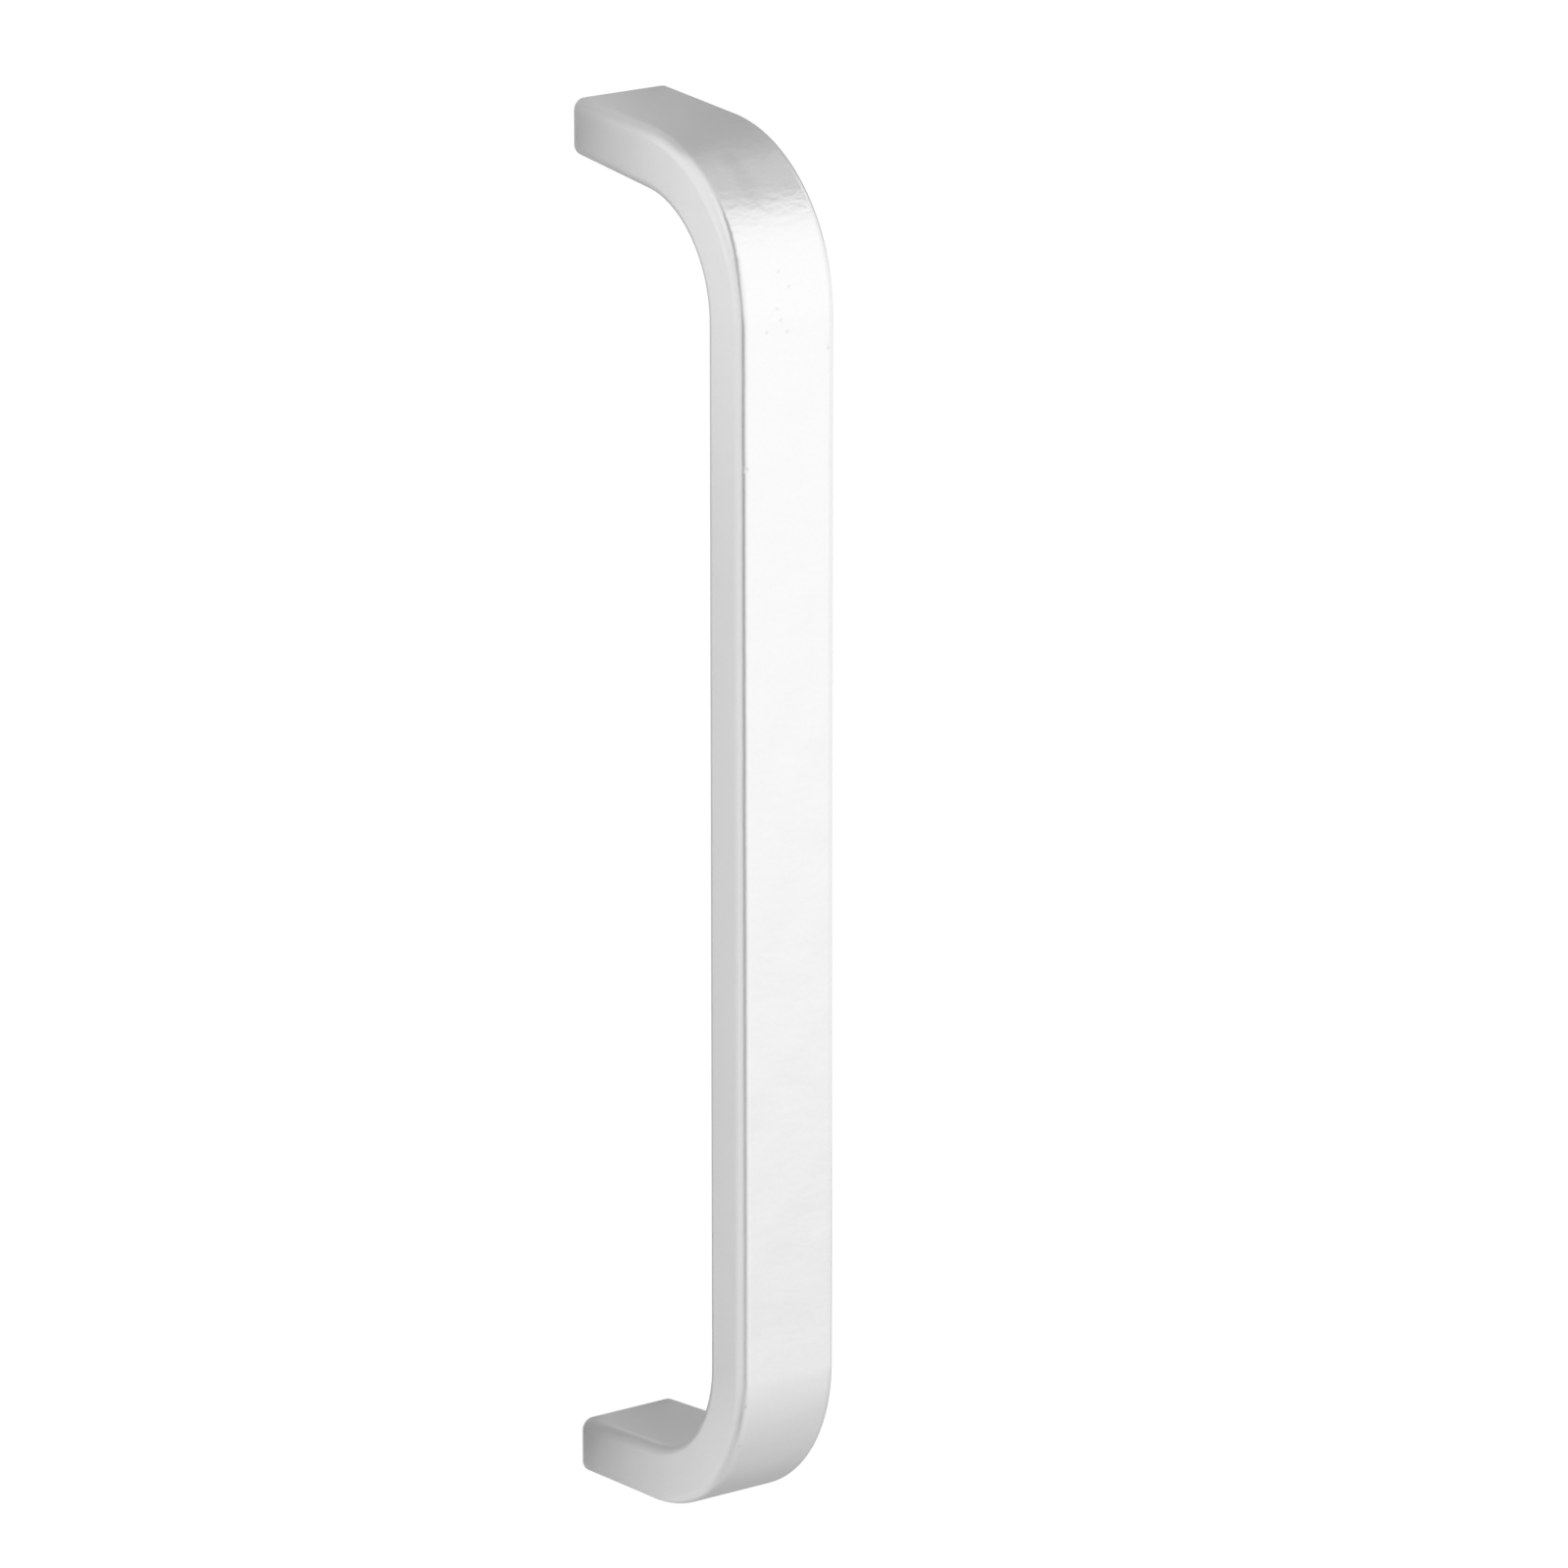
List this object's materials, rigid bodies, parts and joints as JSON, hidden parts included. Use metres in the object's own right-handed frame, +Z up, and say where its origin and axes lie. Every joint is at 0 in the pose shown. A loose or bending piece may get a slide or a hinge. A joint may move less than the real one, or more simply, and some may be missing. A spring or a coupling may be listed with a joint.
{
  "type": "cabinet handle",
  "caption": "Slim D-shaped cabinet handle cast as a flat bar with rounded edges and smooth bends, on slightly splayed legs with tapped feet for screws from behind the door.",
  "frame": {"origin": "on the plane of the feet, which is the door's face, midway between the two screw holes", "axes": "+Z up along the handle's length, +Y out of the feet into the door, so the grip stands towards -Y, +X across the bar"},
  "size_m": [0.0136, 0.033, 0.1666],
  "materials": {
    "satin_metal": "satin silver plating over a zinc casting"
  },
  "bodies": {
    "root": {"bow_handle": "satin_metal"}
  },
  "joints": []
}
